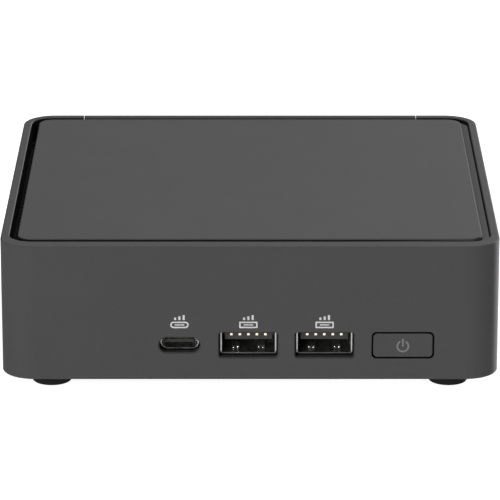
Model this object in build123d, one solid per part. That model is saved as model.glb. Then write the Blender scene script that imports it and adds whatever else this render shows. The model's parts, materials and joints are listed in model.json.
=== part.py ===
"""Small desktop computer, 117 x 112 x 37 mm, as an assembly of separate pieces.

Row frame, millimetres: X to the right, Y to the back, Z up, origin on the desk under the middle of
the case. The front face, with its ports and power button, looks along -Y. Each function returns one
sub-part in place, and the table at the end names them.
"""
from build123d import *
from math import atan2, degrees, hypot
import os

# ---------------------------------------------------------------- case, driving dimensions
WIDTH, DEPTH, HEIGHT = 117.0, 112.0, 37.0
CORNER_R = 7.9
STANDOFF = 4.3                       # desk to the underside of the case
WALL = 2.0                           # front and side walls
REAR_WALL = 2.2
RIM_FRONT = 4.2                      # flat rim in front of the top panel
GROOVE = 2.0                         # groove between the rim and the top panel
LEDGE_DEPTH = 1.1                    # the panel's sunk ledge that fills the groove on the right
LEDGE_GAP = 0.2
LEDGE_LAP = 3.4                      # part of the ledge that is one piece with the panel
PANEL_T = 1.6
DECK_T = 1.2                         # deck under the top panel
MOAT_FLOOR = 31.4                    # bottom of the groove
MOAT_FLOOR_T = 1.2
RIM_R = 5.5                          # inner corner of the rim
PANEL_R = 3.6                        # corner of the top panel

HALF_W, HALF_D = WIDTH / 2, DEPTH / 2
SIDE_IN = HALF_W - WALL              # inner face of a side wall
FRONT_IN = -HALF_D + WALL            # inner face of the front wall
REAR_IN = HALF_D - REAR_WALL         # inner face of the rear wall
RIM_FRONT_IN = -HALF_D + RIM_FRONT
DECK_TOP = HEIGHT - PANEL_T
DECK_BOTTOM = DECK_TOP - DECK_T
PANEL_X = SIDE_IN - GROOVE
PANEL_FRONT = RIM_FRONT_IN + GROOVE - 0.1
PANEL_REAR = REAR_IN - GROOVE + 0.1
MOAT_WALL = 1.2                      # wall between the groove and the room under the deck

# ---------------------------------------------------------------- front row
PORT_Z = STANDOFF + 8.5              # centre line of the front ports and the button
PORT_RECESS = 2.4                    # connector mouths behind the case's face
PORT_FACE = -HALF_D + PORT_RECESS
USB_C_X = -16.5
USB_A_X = (-0.38, 17.45)
BUTTON_X = 35.8
BUTTON_W, BUTTON_H, BUTTON_GAP = 13.9, 5.8, 0.4

# ---------------------------------------------------------------- mainboard
BOARD_BOTTOM, BOARD_T = 16.2, 1.6
BOARD_TOP = BOARD_BOTTOM + BOARD_T
BOARD_X, BOARD_FRONT, BOARD_REAR = 53.0, -52.9, 52.1
POST_X, POST_FRONT, POST_REAR = 48.0, -46.5, 45.0
POST_R, POST_HOLE_R = 3.2, 1.3
POSTS = [(sx * POST_X, y) for sx in (-1, 1) for y in (POST_FRONT, POST_REAR)]

# ---------------------------------------------------------------- rear row
REAR_CUT_X, REAR_PANEL_X = 43.25, 43.1
REAR_BAR_TOP = 8.0                   # the shell's bar under the rear panel
REAR_FACE = HALF_D - 0.6             # mouths of the rear connectors
DC_X, LAN_X, STACK_X = -36.5, -4.0, 13.6
HDMI_XS = (-22.0, 31.5)              # each display port has a small reversible port under it
DC_Z, HDMI_Z = 12.3, BOARD_TOP + 2.8
LAN_Z0, LAN_H, LAN_W = 8.6, 13.4, 16.0
STACK_Z0, STACK_H, STACK_W = 8.2, 15.6, 14.4

# ---------------------------------------------------------------- cooler
FAN_X, FAN_Y, FAN_R = -19.0, -8.0, 31.0
FAN_Z0, FAN_Z1 = 18.6, 33.6
DUCT_END = 27.5
LUG_R, LUG_T = 3.0, 2.0               # screw lugs of the blower
CPU_X, CPU_Y = 30.7, -2.0
PLATE_Z0, PLATE_T = 19.7, 1.3
PIPE_Z0, PIPE_T, PIPE_W = 21.0, 2.8, 6.0
FIN_Z0, FIN_Z1 = 24.0, 32.9

# ---------------------------------------------------------------- bottom cover
COVER_T = 1.6
COVER_TOP = STANDOFF + COVER_T
COVER_GAP = 0.3
FOOT_X, FOOT_Y, FOOT_R = 47.1, 43.9, 4.7
TONGUE_Z = STANDOFF + 1.7           # the cover tilts about the inner lower edge of the front wall
INSERT_X, INSERT_R, INSERT_HOLE_R = 50.0, 2.2, 1.25

# ---------------------------------------------------------------- memory and drive
MODULE_L, MODULE_W, MODULE_T = 69.6, 30.0, 1.2
MEMORY_X = -11.0
SSD_X0, SSD_Y, SSD_L, SSD_W = -44.0, -27.0, 80.0, 22.0
SSD_Z0 = 12.6


def block(x0, x1, y0, y1, z0, z1):
    """Box between two corners."""
    return Pos((x0 + x1) / 2, (y0 + y1) / 2, (z0 + z1) / 2) * Box(x1 - x0, y1 - y0, z1 - z0)


def slab(x0, x1, y0, y1, z0, z1, r):
    """Flat block whose upright corners are rounded."""
    outline = Pos((x0 + x1) / 2, (y0 + y1) / 2, z0) * RectangleRounded(x1 - x0, y1 - y0, r)
    return extrude(outline, z1 - z0)


def bar_y(x, z, width, height, r, y0, y1):
    """Bar along Y with a rounded rectangular section centred on (x, z)."""
    section = Plane(origin=(x, y0, z), x_dir=(1, 0, 0), z_dir=(0, 1, 0))
    return extrude(section * RectangleRounded(width, height, r), y1 - y0)


def bar_x(y, z, length, height, r, x0, x1):
    """Bar along X with a rounded rectangular section centred on (y, z)."""
    section = Plane(origin=(x0, y, z), x_dir=(0, 1, 0), z_dir=(1, 0, 0))
    return extrude(section * RectangleRounded(length, height, r), x1 - x0)


def rod(x, y, z0, z1, r):
    """Upright round bar."""
    return Pos(x, y, (z0 + z1) / 2) * Cylinder(r, z1 - z0)


def rod_y(x, z, y0, y1, r):
    """Round bar along Y."""
    return Pos(x, (y0 + y1) / 2, z) * Rot(90, 0, 0) * Cylinder(r, y1 - y0)


def group(solids):
    """Separate solids of one sub-part."""
    return Compound(children=list(solids))


def merged(solids):
    """One solid from touching or overlapping ones."""
    first, *others = solids
    return first.fuse(*others) if others else first


def wire_tube(points, diameter, bend):
    """Cable along straight runs joined by round bends."""
    path = FilletPolyline(*points, radius=bend)
    section = Plane(origin=path @ 0, z_dir=path % 0) * Circle(diameter / 2)
    return sweep(section, path=path)


# ================================================================= case
def rim_outline(z0, z1):
    return slab(-SIDE_IN, SIDE_IN, RIM_FRONT_IN, REAR_IN, z0, z1, RIM_R)


def panel_outline(z0, z1, grow=0.0):
    return slab(-PANEL_X - grow, PANEL_X + grow, PANEL_FRONT - grow, PANEL_REAR + grow, z0, z1,
                PANEL_R + grow)


PANEL_HOOKS = [(sx * 30.0, y) for sx in (-1, 1) for y in (-45.0, 46.5)]
HOOK_W, HOOK_T = 8.0, 1.2
WINDOW_Y, WINDOW_Z0, WINDOW_Z1 = 30.0, 18.5, 28.5
LOCK_Y, LOCK_Z = 40.0, 13.0


def front_mouth(x, width, height, r):
    """Cutter for a port opening in the front wall, bevelled at the face."""
    bevel = 0.3
    cutter = bar_y(x, PORT_Z, width, height, r, -HALF_D - 1, FRONT_IN + 1)
    flared = bar_y(x, PORT_Z, width + 2 * bevel, height + 2 * bevel, r + bevel, -HALF_D - bevel,
                   -HALF_D + bevel)
    return cutter + chamfer(flared.faces().sort_by(Axis.Y)[-1].edges(), bevel - 0.001)


def outer_shell():
    """Walls, deck and rim in one moulding, open underneath and at the back."""
    body = slab(-HALF_W, HALF_W, -HALF_D, HALF_D, STANDOFF, HEIGHT, CORNER_R)
    body = fillet(body.faces().sort_by(Axis.Z)[0].edges(), 0.25)
    body -= rim_outline(DECK_TOP, HEIGHT + 1)
    rim = body.faces().sort_by(Axis.Z)[-1]
    body = fillet(rim.inner_wires()[0].edges(), 0.25)
    rim = body.faces().sort_by(Axis.Z)[-1]
    body = fillet(rim.outer_wire().edges(), 0.4)
    body -= rim_outline(MOAT_FLOOR, DECK_TOP + 0.01) - panel_outline(MOAT_FLOOR - 1, DECK_TOP + 1)
    # room inside: up to the deck in the middle, up to the groove's floor around it
    ceiling = MOAT_FLOOR - MOAT_FLOOR_T
    body -= slab(-SIDE_IN, SIDE_IN, FRONT_IN, REAR_IN, STANDOFF - 1, ceiling, CORNER_R - WALL)
    body -= panel_outline(ceiling - 1, DECK_BOTTOM, -MOAT_WALL)
    body -= block(-SIDE_IN - 0.01, -PANEL_X - 0.2, PANEL_FRONT + 4, PANEL_REAR - 4, ceiling - 1,
                  MOAT_FLOOR + 0.1)
    # front openings
    body -= front_mouth(USB_C_X, 9.5, 3.6, 1.79)
    for x in USB_A_X:
        body -= front_mouth(x, 13.7, 6.1, 0.6)
    body -= bar_y(BUTTON_X, PORT_Z, BUTTON_W + 2 * BUTTON_GAP, BUTTON_H + 2 * BUTTON_GAP, 1.2,
                  -HALF_D - 1, FRONT_IN + 1)
    # grille windows, lock slot, rear opening
    for sx in (-1, 1):
        x0, x1 = sorted((sx * (SIDE_IN - 1), sx * (HALF_W + 1)))
        body -= bar_x(0, (WINDOW_Z0 + WINDOW_Z1) / 2, 2 * WINDOW_Y, WINDOW_Z1 - WINDOW_Z0, 1.5, x0, x1)
    body -= bar_x(LOCK_Y, LOCK_Z, 7.0, 3.0, 0.6, SIDE_IN - 1, HALF_W + 1)
    body -= block(-REAR_CUT_X, REAR_CUT_X, REAR_IN - 0.01, HALF_D + 1, REAR_BAR_TOP, HEIGHT + 1)
    # slots for the cover's tongues and for its latch
    for x in TONGUE_XS:
        body -= block(x - 5.3, x + 5.3, FRONT_IN - 1.25, FRONT_IN + 0.1, TONGUE_Z - 0.6, TONGUE_Z + 1.5)
    body -= block(-6.5, 6.5, REAR_IN - 0.1, REAR_IN + 1.5, COVER_TOP - 0.05, COVER_TOP + 1.3)
    # screw posts and the panel's hook slots
    for x, y in POSTS:
        body += rod(x, y, BOARD_TOP, DECK_BOTTOM + 0.1, POST_R)
        body -= rod(x, y, BOARD_TOP - 1, BOARD_TOP + 8, POST_HOLE_R)
    for x, y in PANEL_HOOKS:
        body -= block(x - HOOK_W / 2 - 0.3, x + HOOK_W / 2 + 0.3, y - 1.5, y + 1.5, DECK_BOTTOM - 1,
                      DECK_TOP + 1)
    return body


def ledge_outline(z0, z1):
    """Sunk ledge that follows the rim along the right side and round both corners."""
    x_in, y0, y1 = SIDE_IN - LEDGE_GAP, RIM_FRONT_IN + LEDGE_GAP, REAR_IN - LEDGE_GAP
    ledge = slab(-x_in, x_in, y0, y1, z0, z1, RIM_R - LEDGE_GAP)
    return ledge & block(PANEL_X - LEDGE_LAP, HALF_W, -HALF_D, HALF_D, z0, z1)


def top_panel():
    """Flush plate with a sunk ledge on its right, held on the deck by four snap hooks."""
    plate = panel_outline(DECK_TOP, HEIGHT)
    plate = fillet(plate.faces().sort_by(Axis.Z)[-1].edges(), 0.3)
    ledge_top = HEIGHT - LEDGE_DEPTH
    plate += ledge_outline(DECK_TOP, ledge_top)
    plate += ledge_outline(MOAT_FLOOR + 0.3, DECK_TOP) - panel_outline(MOAT_FLOOR, DECK_TOP, 0.05)
    for x, y in PANEL_HOOKS:
        inward = 1 if y < 0 else -1
        plate += block(x - HOOK_W / 2, x + HOOK_W / 2, y - HOOK_T / 2, y + HOOK_T / 2,
                       DECK_BOTTOM - 1.2, DECK_TOP)
        y0, y1 = sorted((y + inward * HOOK_T / 2, y - inward * (HOOK_T / 2 + 0.7)))
        plate += block(x - HOOK_W / 2, x + HOOK_W / 2, y0, y1, DECK_BOTTOM - 1.2, DECK_BOTTOM - 0.2)
    return plate


def intake_strip():
    """Perforated strip in the floor of the left groove."""
    strip = block(-SIDE_IN, -PANEL_X - 0.2, PANEL_FRONT + 4, PANEL_REAR - 4, MOAT_FLOOR - MOAT_FLOOR_T,
                  MOAT_FLOOR - 0.6)
    pitch, count = 3.0, 31
    x = -(SIDE_IN + PANEL_X) / 2
    middle = (PANEL_FRONT + PANEL_REAR) / 2
    holes = [rod(x, middle + (i - (count - 1) / 2) * pitch, MOAT_FLOOR - 2, MOAT_FLOOR, 0.6)
             for i in range(count)]
    return strip - holes


def side_grille(sx):
    """Slotted insert that fills the window of one side wall."""
    x0, x1 = sorted((sx * SIDE_IN, sx * (HALF_W - 0.1)))
    z = (WINDOW_Z0 + WINDOW_Z1) / 2
    plate = bar_x(0, z, 2 * WINDOW_Y - 0.2, WINDOW_Z1 - WINDOW_Z0 - 0.2, 1.4, x0, x1)
    pitch, count = 2.9, 20
    slots = [bar_x((i - (count - 1) / 2) * pitch, z, 1.5, 7.4, 0.7, x0 - 1, x1 + 1) for i in range(count)]
    return plate - slots


def lock_plate():
    """Steel plate behind the security slot."""
    plate = bar_x(LOCK_Y, LOCK_Z, 14.0, 10.0, 1.0, SIDE_IN - 1.0, SIDE_IN)
    return plate - bar_x(LOCK_Y, LOCK_Z, 7.2, 3.2, 0.6, SIDE_IN - 2, SIDE_IN + 1)


def rear_panel():
    """Back plate with the exhaust slots and the holes for the rear connectors."""
    plate = block(-REAR_PANEL_X, REAR_PANEL_X, REAR_IN, HALF_D, REAR_BAR_TOP + 0.15, HEIGHT)
    plate = fillet(plate.edges().filter_by(Axis.X).group_by(Axis.Z)[-1].sort_by(Axis.Y)[-1:], 0.4)
    flange_top = MOAT_FLOOR - MOAT_FLOOR_T - 0.1
    plate += block(-REAR_PANEL_X - 2.35, REAR_PANEL_X + 2.35, REAR_IN - 1.0, REAR_IN,
                   REAR_BAR_TOP + 0.15, flange_top)
    y0, y1 = REAR_IN - 2, HALF_D + 1
    plate -= bar_y(DC_X, DC_Z, 9.4, 8.2, 0.6, y0, y1)
    plate -= bar_y(LAN_X, LAN_Z0 + LAN_H / 2, LAN_W + 0.4, LAN_H + 0.4, 0.6, y0, y1)
    plate -= bar_y(STACK_X, STACK_Z0 + STACK_H / 2, STACK_W + 0.4, STACK_H + 0.3, 0.6, y0, y1)
    for x in HDMI_XS:
        plate -= bar_y(x, HDMI_Z, 15.4, 6.0, 0.6, y0, y1)
        plate -= bar_y(x, PORT_Z, 9.5, 3.7, 1.8, y0, y1)
    pitch, count = 2.9, 27
    slots = [bar_y((i - (count - 1) / 2) * pitch, 27.2, 1.7, 5.4, 0.8, y0, y1) for i in range(count)]
    return plate - slots


# ================================================================= front connectors and button
def usb_a_shell(x, z0, face, toward):
    """Drawn steel can of one flat port, with its two contact springs and solder tabs."""
    y0, y1 = sorted((face, face + toward * 14.0))
    z = z0 + 2.85
    can = bar_y(x, z, 13.1, 5.7, 0.5, y0, y1)
    can -= bar_y(x, z, 12.5, 5.1, 0.3, *sorted((face - toward, face + toward * 13.6)))
    for sx in (-1, 1):
        spring = Plane.YZ.offset(x + sx * 3.0 - 0.9) * Polygon(
            (face + toward * 1.8, z0 + 0.3), (face + toward * 8.0, z0 + 0.3),
            (face + toward * 3.4, z0 + 1.05), (face + toward * 2.9, z0 + 1.05), align=None)
        can += extrude(spring, 1.8, dir=(1, 0, 0))
    return can


TONGUE_RECESS = 1.4                  # nose of a flat port's tongue behind its mouth
TONGUE_Z0, TONGUE_Z1 = 3.08, 4.92    # tongue above the can's underside


def usb_a_tongue(x, z0, face, toward):
    """Moulded block with the contact tongue."""
    nose, root, back = (face + toward * d for d in (TONGUE_RECESS, 11.0, 13.5))
    tongue = block(x - 5.55, x + 5.55, *sorted((nose, root + toward)), z0 + TONGUE_Z0, z0 + TONGUE_Z1)
    base = block(x - 6.15, x + 6.15, *sorted((root, back)), z0 + 0.42, z0 + 5.28)
    return merged([tongue, base])


def usb_a_contacts(x, z0, face, toward):
    """Five fine contacts at the tongue's nose and four broad ones under it."""
    nose = face + toward * TONGUE_RECESS
    y0, y1 = sorted((nose - toward * 0.1, nose))
    tips = [block(x + i * 2.0 - 0.28, x + i * 2.0 + 0.28, y0, y1, z0 + 4.05, z0 + 4.55)
            for i in range(-2, 3)]
    y0, y1 = sorted((face + toward * 3.0, face + toward * 9.5))
    under = z0 + TONGUE_Z0
    broad = [block(x + c - 0.5, x + c + 0.5, y0, y1, under - 0.12, under) for c in (-3.5, -1.0, 1.0, 3.5)]
    return tips + broad


def front_usb_a_shell(x):
    z0 = PORT_Z - 2.85
    can = usb_a_shell(x, z0, PORT_FACE, 1)
    tabs = [block(x + sx * 6.4 - 0.15, x + sx * 6.4 + 0.15, y, y + 1.6, z0 + 5.0, BOARD_BOTTOM)
            for sx in (-1, 1) for y in (PORT_FACE + 3.5, PORT_FACE + 10.0)]
    return merged([can, *tabs])


def usb_c_shell(x, z, face, toward):
    """Oval can with a back wall, a seam under its mouth, and tabs up to the board."""
    depth = sorted((face, face + toward * 8.0))
    can = bar_y(x, z, 8.94, 3.2, 1.59, *depth)
    can -= bar_y(x, z, 8.5, 2.76, 1.37, *sorted((face - toward, face + toward * 7.2)))
    can -= block(x - 0.2, x + 0.2, *sorted((face - toward, face + toward * 0.7)), z - 2.0, z - 1.2)
    tabs = [block(x + sx * 3.9 - 0.25, x + sx * 3.9 + 0.25,
                  *sorted((face + toward * d, face + toward * (d + 1.4))), z + 0.9, BOARD_BOTTOM)
            for sx in (-1, 1) for d in (3.2, 6.2)]
    tabs = [tab - bar_y(x, z, 8.6, 2.9, 1.44, *depth) for tab in tabs]
    return merged([can, *tabs])


def usb_c_tongue(x, z, face, toward):
    return block(x - 3.35, x + 3.35, *sorted((face + toward * 1.0, face + toward * 7.2)), z - 0.35, z + 0.35)


def power_button():
    """Key with a retaining flange and a post that reaches the switch."""
    key = bar_y(BUTTON_X, PORT_Z, BUTTON_W, BUTTON_H, 0.95, -HALF_D, FRONT_IN + 0.1)
    key = fillet(key.faces().sort_by(Axis.Y)[0].edges(), 0.15)
    flange = bar_y(BUTTON_X, PORT_Z, BUTTON_W + 3.0, 6.6, 0.9, FRONT_IN + 0.02, FRONT_IN + 0.8)
    post = bar_y(BUTTON_X, PORT_Z, 4.0, 3.0, 0.5, FRONT_IN + 0.5, SWITCH_TIP_Y - 0.05)
    return merged([key, flange, post]) - power_symbol()


def power_symbol():
    """Translucent inlay in the key: an open ring with an upright stroke."""
    ring_r, stroke, z = 1.30, 0.4, PORT_Z - 0.25
    y0, y1 = -HALF_D, -HALF_D + 0.4
    ring = rod_y(BUTTON_X, z, y0, y1, ring_r + stroke / 2) - rod_y(BUTTON_X, z, y0 - 1, y1 + 1,
                                                                   ring_r - stroke / 2)
    ring -= block(BUTTON_X - 0.62, BUTTON_X + 0.62, y0 - 1, y1 + 1, z + 0.5, z + 3)
    bar = block(BUTTON_X - stroke / 2, BUTTON_X + stroke / 2, y0, y1, z - 0.05, z + 1.85)
    return group([ring, bar])


SWITCH_TIP_Y = -50.3


def power_switch():
    """Right-angle push switch under the board's front edge."""
    body = block(BUTTON_X - 3.0, BUTTON_X + 3.0, SWITCH_TIP_Y + 1.3, SWITCH_TIP_Y + 5.0, PORT_Z - 2.0,
                 BOARD_BOTTOM)
    return body - rod_y(BUTTON_X, PORT_Z, SWITCH_TIP_Y, SWITCH_TIP_Y + 3.0, 1.05)


def switch_plunger():
    return rod_y(BUTTON_X, PORT_Z, SWITCH_TIP_Y, SWITCH_TIP_Y + 2.4, 1.0)


# ================================================================= rear connectors
def hdmi_section(x, width, height, chamfer_size):
    """Outline of a display port: a rectangle whose lower corners are cut."""
    w, h, c = width / 2, height / 2, chamfer_size
    points = [(-w, h), (w, h), (w, -h + c), (w - c, -h), (-w + c, -h), (-w, -h + c)]
    return Plane(origin=(x, REAR_FACE, HDMI_Z), x_dir=(1, 0, 0), z_dir=(0, -1, 0)) * Polygon(*points,
                                                                                             align=None)


def hdmi_shells():
    cans = []
    for x in HDMI_XS:
        can = extrude(hdmi_section(x, 15.0, 5.6, 1.6), 11.0, dir=(0, -1, 0))
        hollow = extrude(hdmi_section(x, 14.2, 4.8, 1.45), 10.4, dir=(0, -1, 0))
        cans.append(can - hollow)
    return group(cans)


def hdmi_tongues():
    return group(block(x - 5.8, x + 5.8, REAR_FACE - 10.4, REAR_FACE - 1.0, HDMI_Z - 0.1, HDMI_Z + 1.1)
                 for x in HDMI_XS)


STACK_STEPS = (1.0, 8.7)             # undersides of the two mouths, above the stack's base


def rear_usb_a_stack():
    """Steel can around two flat ports, one above the other."""
    can = block(STACK_X - STACK_W / 2, STACK_X + STACK_W / 2, REAR_FACE - 14.4, REAR_FACE, STACK_Z0,
                STACK_Z0 + STACK_H)
    for step in STACK_STEPS:
        can -= bar_y(STACK_X, STACK_Z0 + step + 2.85, 12.5, 5.1, 0.3, REAR_FACE - 13.6, REAR_FACE + 1)
    return can


LAN_DEPTH = 14.0


def ethernet_jack():
    """Shielded network socket with a latch channel below its cavity."""
    jack = block(LAN_X - LAN_W / 2, LAN_X + LAN_W / 2, REAR_FACE - LAN_DEPTH, REAR_FACE, LAN_Z0,
                 LAN_Z0 + LAN_H)
    jack -= block(LAN_X - 6.0, LAN_X + 6.0, REAR_FACE - 12.5, REAR_FACE + 1, LAN_Z0 + 4.2, LAN_Z0 + 11.4)
    jack -= block(LAN_X - 3.3, LAN_X + 3.3, REAR_FACE - 12.5, REAR_FACE + 1, LAN_Z0 + 1.0, LAN_Z0 + 4.3)
    return jack


def ethernet_contacts():
    """Eight sloping wires in the roof of the socket."""
    wires = []
    for i in range(8):
        x = LAN_X + (i - 3.5) * 1.02
        profile = Plane.YZ.offset(x - 0.2) * Polygon(
            (REAR_FACE - 3.0, LAN_Z0 + 11.4), (REAR_FACE - 3.6, LAN_Z0 + 11.4),
            (REAR_FACE - 11.0, LAN_Z0 + 8.9), (REAR_FACE - 10.8, LAN_Z0 + 8.6), align=None)
        wires.append(extrude(profile, 0.4, dir=(1, 0, 0)))
    return group(wires)


DC_BORE_R, DC_PIN_R, DC_PIN_L = 3.15, 1.25, 9.0


def dc_jack():
    """Round power socket in a square moulding."""
    body = bar_y(DC_X, DC_Z, 9.0, 7.8, 0.5, REAR_FACE - 13.0, REAR_FACE)
    return body - rod_y(DC_X, DC_Z, REAR_FACE - 10.0, REAR_FACE + 1, DC_BORE_R)


def dc_jack_pin():
    pin = rod_y(DC_X, DC_Z, REAR_FACE - 1.0 - DC_PIN_L, REAR_FACE - 1.0, DC_PIN_R)
    return fillet(pin.edges().sort_by(Axis.Y)[-1], 0.5)


# ================================================================= mainboard
BRACKET_REACH = 17.5
BRACKET_HOLES = [(CPU_X + sx * BRACKET_REACH, CPU_Y + sy * BRACKET_REACH) for sx in (-1, 1)
                 for sy in (-1, 1)]
FAN_LUGS = [(-49.5, -34.0), (10.0, -37.5), (11.5, 22.0)]
SSD_POST_X = SSD_X0 + SSD_L


def mainboard():
    """Board with notches for the two tall rear connectors."""
    board = slab(-BOARD_X, BOARD_X, BOARD_FRONT, BOARD_REAR, BOARD_BOTTOM, BOARD_TOP, 2.0)
    for x, y in POSTS:
        board -= rod(x, y, BOARD_BOTTOM - 1, BOARD_TOP + 1, 1.7)
    for x, y in BRACKET_HOLES + FAN_LUGS:
        board -= rod(x, y, BOARD_BOTTOM - 1, BOARD_TOP + 1, 1.35)
    for x, width in ((LAN_X, LAN_W), (STACK_X, STACK_W)):
        board -= block(x - width / 2 - 0.3, x + width / 2 + 0.3, REAR_FACE - 14.8, BOARD_REAR + 1,
                       BOARD_BOTTOM - 1, BOARD_TOP + 1)
    return board


def mainboard_screws():
    """Four pan-head screws up into the case's posts."""
    screws = []
    for x, y in POSTS:
        head = rod(x, y, BOARD_BOTTOM - 1.9, BOARD_BOTTOM, 2.7)
        head = fillet(head.edges().sort_by(Axis.Z)[0], 0.7)
        head -= block(x - 1.5, x + 1.5, y - 0.3, y + 0.3, BOARD_BOTTOM - 2.5, BOARD_BOTTOM - 1.1)
        head -= block(x - 0.3, x + 0.3, y - 1.5, y + 1.5, BOARD_BOTTOM - 2.5, BOARD_BOTTOM - 1.1)
        screws.append(merged([head, rod(x, y, BOARD_BOTTOM, BOARD_TOP + 6.5, 1.25)]))
    return group(screws)


def processor():
    """Package on the board's upper face, with its die."""
    package = slab(CPU_X - 12.5, CPU_X + 12.5, CPU_Y - 14.0, CPU_Y + 14.0, BOARD_TOP, BOARD_TOP + 1.1, 0.5)
    die = block(CPU_X - 5.5, CPU_X + 5.5, CPU_Y - 10.5, CPU_Y + 10.5, BOARD_TOP + 1.1, BOARD_TOP + 1.85)
    return group([package, die])


def power_coils():
    """Row of moulded chokes beside the processor."""
    return group(slab(CPU_X + 14.6, CPU_X + 20.4, y - 3.0, y + 3.0, BOARD_TOP, BOARD_TOP + 3.0, 0.6)
                 for y in (CPU_Y + d for d in (-9.6, -3.2, 3.2, 9.6)))


def board_chips():
    """Controllers and regulators on both faces of the board."""
    upper = [(-34, -48, 7, 7), (-12, -47, 9, 9), (22, -45, 6, 6), (40, 26, 8, 8), (40, -40, 9, 7),
             (-49, 35, 5, 8)]
    lower = [(46, -28, 8, 10), (44, -12, 6, 6), (-34, -46, 12, 8), (-50.5, 8, 3, 8), (-44, 37.8, 8, 6)]
    chips = [slab(x - w / 2, x + w / 2, y - d / 2, y + d / 2, BOARD_TOP, BOARD_TOP + 0.95, 0.2)
             for x, y, w, d in upper]
    chips += [slab(x - w / 2, x + w / 2, y - d / 2, y + d / 2, BOARD_BOTTOM - 0.95, BOARD_BOTTOM, 0.2)
              for x, y, w, d in lower]
    return group(chips)


BATTERY_X, BATTERY_Y = 39.0, 29.5


def battery_holder():
    """Low clip frame for the clock's coin cell, under the board."""
    frame = rod(BATTERY_X, BATTERY_Y, BOARD_BOTTOM - 2.6, BOARD_BOTTOM, 11.2)
    frame -= rod(BATTERY_X, BATTERY_Y, BOARD_BOTTOM - 3.0, BOARD_BOTTOM - 0.6, 10.1)
    return frame - block(BATTERY_X - 4, BATTERY_X + 4, BATTERY_Y - 12, BATTERY_Y, BOARD_BOTTOM - 3,
                         BOARD_BOTTOM - 0.6)


def coin_cell():
    can = rod(BATTERY_X, BATTERY_Y, BOARD_BOTTOM - 3.8, BOARD_BOTTOM - 0.6, 10.0)
    return fillet(can.edges().sort_by(Axis.Z)[0], 0.4)


# ================================================================= cooler and fan
def cold_plate():
    return slab(CPU_X - 14, CPU_X + 14, CPU_Y - 15, CPU_Y + 15, PLATE_Z0, PLATE_Z0 + PLATE_T, 1.5)


# run over the plate, run under the fins, bend radius
PIPE_TURNS = ((27.5, 31.3, 8.0), (33.8, 37.6, 14.3))


def heat_pipes():
    """Two flattened copper pipes from the processor to the fins."""
    pipes = []
    for x, y, bend in PIPE_TURNS:
        path = FilletPolyline((x, CPU_Y - 14.0), (x, y), (-42.0, y), radius=bend)
        line = Pos(0, 0, PIPE_Z0 + PIPE_T / 2) * path
        section = Plane(origin=line @ 0, x_dir=(1, 0, 0), z_dir=(0, 1, 0)) * SlotOverall(PIPE_W, PIPE_T)
        pipes.append(sweep(section, path=line))
    return group(pipes)


def fin_stack():
    """Thin upright fins on a base plate, at the fan's mouth."""
    x0, x1, count = -44.2, 8.0, 27
    base = block(x0, x1, DUCT_END + 0.3, 47.5, FIN_Z0 - 0.2, FIN_Z0 + 0.5)
    pitch = (x1 - x0 - 0.4) / (count - 1)
    fins = [block(x0 + i * pitch, x0 + i * pitch + 0.4, DUCT_END + 0.3, 47.5, FIN_Z0 + 0.4, FIN_Z1)
            for i in range(count)]
    return merged([base, *fins])


def cooler_bracket():
    """Sprung steel cross that presses the plate on the processor."""
    z0, z1 = PIPE_Z0 + PIPE_T + 0.05, PIPE_Z0 + PIPE_T + 0.85
    bracket = slab(CPU_X - 8, CPU_X + 8, CPU_Y - 8, CPU_Y + 8, z0, z1, 3.0)
    for sx in (-1, 1):
        arm = Pos(CPU_X, CPU_Y, (z0 + z1) / 2) * Rot(0, 0, sx * 45) * Box(2 * BRACKET_REACH * 1.414,
                                                                          5.0, z1 - z0)
        bracket += arm
    for x, y in BRACKET_HOLES:
        bracket += rod(x, y, z0, z1, 3.2)
        bracket -= rod(x, y, z0 - 1, z1 + 1, 1.3)
    return bracket


def cooler_screws():
    """Four shouldered screws through the cross."""
    z = PIPE_Z0 + PIPE_T + 0.85
    return group(merged([rod(x, y, z, z + 1.4, 2.4), rod(x, y, BOARD_BOTTOM, z, 1.2)])
                 for x, y in BRACKET_HOLES)


def fan_outline(grow):
    """Plan of the blower: a round chamber that opens into a duct."""
    duct_x0, duct_x1 = FAN_X - FAN_R - grow, FAN_X + FAN_R - 4.0 + grow
    chamber = Pos(FAN_X, FAN_Y) * Circle(FAN_R + grow)
    duct = Pos((duct_x0 + duct_x1) / 2, (FAN_Y + DUCT_END) / 2) * Rectangle(duct_x1 - duct_x0,
                                                                            DUCT_END - FAN_Y)
    return chamber + duct


def lug_arm(x, y):
    """Flat arm from a screw lug towards the middle of the blower."""
    reach = hypot(FAN_X - x, FAN_Y - y)
    turn = degrees(atan2(FAN_Y - y, FAN_X - x))
    place = Pos((x + FAN_X) / 2, (y + FAN_Y) / 2, FAN_Z0 + LUG_T / 2)
    return place * Rot(0, 0, turn) * Box(reach, 2 * LUG_R - 1.0, LUG_T)


def fan_housing():
    """Blower tray with three screw lugs on arms and the post of the bearing."""
    tray = extrude(Pos(0, 0, FAN_Z0) * fan_outline(0.0), FAN_Z1 - 0.6 - FAN_Z0)
    for x, y in FAN_LUGS:
        tray += rod(x, y, FAN_Z0, FAN_Z0 + LUG_T, LUG_R)
        tray += lug_arm(x, y)
    tray -= extrude(Pos(0, 0, FAN_Z0 + 1.0) * fan_outline(-1.0), FAN_Z1)
    tray -= block(FAN_X - FAN_R + 1, FAN_X + FAN_R - 5, DUCT_END - 2, DUCT_END + 1, FAN_Z0 + 1.0, FAN_Z1)
    for x, y in FAN_LUGS:
        tray -= rod(x, y, FAN_Z0 - 1, FAN_Z0 + LUG_T + 1, 1.2)
    tray += rod(FAN_X, FAN_Y, FAN_Z0 + 0.5, FAN_Z0 + 3.0, 5.0)
    return tray - rod(FAN_X, FAN_Y, FAN_Z0 + 1.2, FAN_Z0 + 12, BEARING_R + 0.02)


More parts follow.
